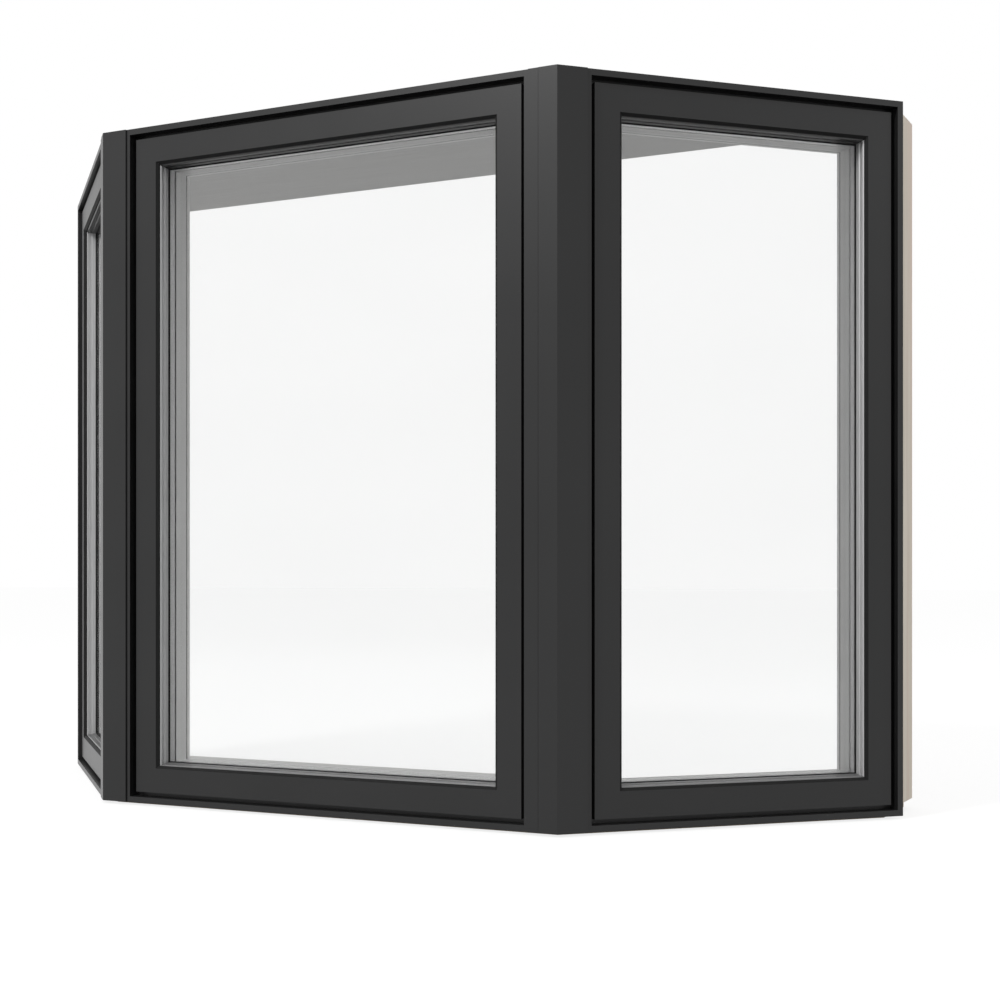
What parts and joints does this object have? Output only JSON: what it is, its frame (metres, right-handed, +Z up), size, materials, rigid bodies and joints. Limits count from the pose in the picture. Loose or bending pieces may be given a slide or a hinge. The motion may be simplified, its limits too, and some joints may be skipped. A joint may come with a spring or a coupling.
{
  "type": "three-unit bay window with 45 degree flank units",
  "caption": "Clad-wood bay window: fixed centre and angled flank units mulled at corner posts, between a seat board and a head board, open to the wall at the back.",
  "frame": {"origin": "centre of the overall box at the underside of the seat board", "axes": "+Z up; -Y is the outside, where the centre unit faces; +Y is the open wall side; +X is to the right seen from outside"},
  "size_m": [2.0164, 0.6722, 1.391],
  "materials": {
    "black_cladding": "satin black powder coat on extruded aluminium",
    "black_bead": "semi-gloss black glazing bead",
    "painted_wood": "matte white paint on wood",
    "raw_pine": "planed raw pine",
    "board": "primed plywood faces with bare ply edges",
    "glass": "clear float glass",
    "spacer": "matte grey spacer bar",
    "rubber": "matte black gasket"
  },
  "bodies": {
    "root": {"center_frame_jambs": "painted_wood", "center_frame_rails": "painted_wood", "center_frame_cladding": "black_cladding", "center_sash_stiles": "painted_wood", "center_sash_rails": "painted_wood", "center_sash_cladding": "black_cladding", "center_glazing_bead": "black_bead", "center_glazing_gasket": "rubber", "center_glass": "glass", "center_spacer": "spacer", "center_inner_stops": "painted_wood", "left_frame_jambs": "painted_wood", "left_frame_rails": "painted_wood", "left_frame_cladding": "black_cladding", "left_sash_stiles": "painted_wood", "left_sash_rails": "painted_wood", "left_sash_cladding": "black_cladding", "left_glazing_bead": "black_bead", "left_glazing_gasket": "rubber", "left_glass": "glass", "left_spacer": "spacer", "left_inner_stops": "painted_wood", "right_frame_jambs": "painted_wood", "right_frame_rails": "painted_wood", "right_frame_cladding": "black_cladding", "right_sash_stiles": "painted_wood", "right_sash_rails": "painted_wood", "right_sash_cladding": "black_cladding", "right_glazing_bead": "black_bead", "right_glazing_gasket": "rubber", "right_glass": "glass", "right_spacer": "spacer", "right_inner_stops": "painted_wood", "corner_post_left": "painted_wood", "corner_post_right": "painted_wood", "corner_cover_left": "black_cladding", "corner_cover_right": "black_cladding", "post_trim_left": "painted_wood", "post_trim_right": "painted_wood", "seat_board": "board", "head_board": "board", "side_jamb_left": "raw_pine", "side_jamb_right": "raw_pine", "end_filler_left": "painted_wood", "end_filler_right": "painted_wood"}
  },
  "joints": []
}
